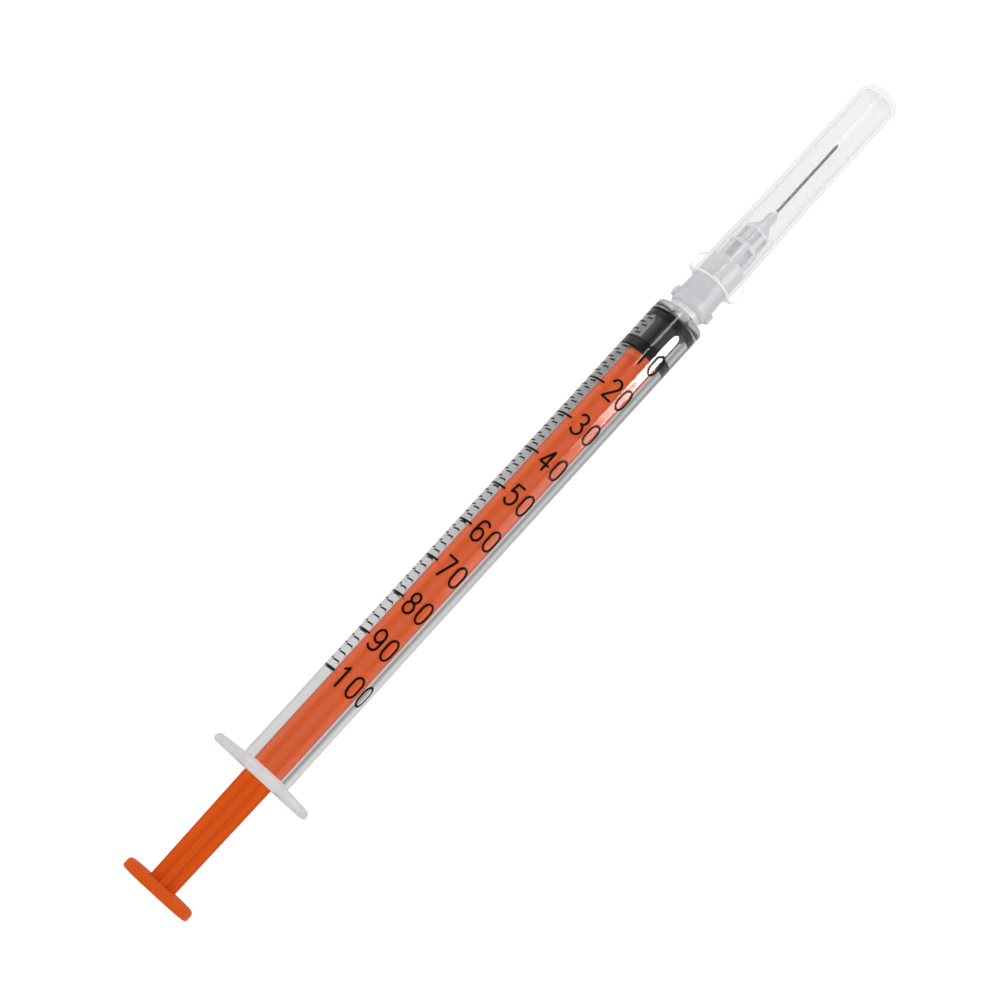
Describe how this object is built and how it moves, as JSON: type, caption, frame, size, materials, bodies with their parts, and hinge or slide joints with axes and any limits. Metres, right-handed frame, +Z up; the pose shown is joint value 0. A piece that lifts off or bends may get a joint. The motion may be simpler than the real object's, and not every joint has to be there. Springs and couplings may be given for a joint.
{
  "type": "insulin syringe",
  "caption": "Slim graduated insulin syringe lying on its side, with an orange plunger pushed home and a slip-on needle under a clear ribbed cap.",
  "frame": {"origin": "on the axis of the bore, at the rear face of the finger flange", "axes": "+X along the barrel towards the needle, +Y along the finger flange, +Z up out of the flange's flat side"},
  "size_m": [0.1292, 0.014, 0.0084],
  "materials": {
    "clear_barrel": "clear polypropylene with black printed scale",
    "orange_plastic": "moulded orange polypropylene, soft gloss",
    "black_rubber": "black rubber, lubricated",
    "grey_hub": "translucent grey polypropylene",
    "needle_steel": "drawn stainless steel",
    "cured_adhesive": "cured clear adhesive",
    "clear_cap": "natural translucent polyethylene"
  },
  "bodies": {
    "barrel_body": {"barrel": "clear_barrel"},
    "gasket_body": {"gasket": "black_rubber"},
    "rod_body": {"plunger_rod": "orange_plastic"},
    "needle_unit": {"needle_hub": "grey_hub", "cannula": "needle_steel", "needle_adhesive": "cured_adhesive"},
    "cap_body": {"needle_cap": "clear_cap"}
  },
  "joints": [
    {"name": "plunger_slide", "type": "slide", "parent": "barrel_body", "child": "gasket_body", "axis": [-1, 0, 0], "range_m": [0, 0.0632]},
    {"name": "rod_turn", "type": "hinge", "parent": "gasket_body", "child": "rod_body", "pos_m": [0, 0, 0], "axis": [1, 0, 0], "continuous": true},
    {"name": "needle_pull", "type": "slide", "parent": "barrel_body", "child": "needle_unit", "axis": [1, 0, 0], "range_m": [0, 0.012]},
    {"name": "cap_pull", "type": "slide", "parent": "needle_unit", "child": "cap_body", "axis": [1, 0, 0], "range_m": [0, 0.03]}
  ]
}
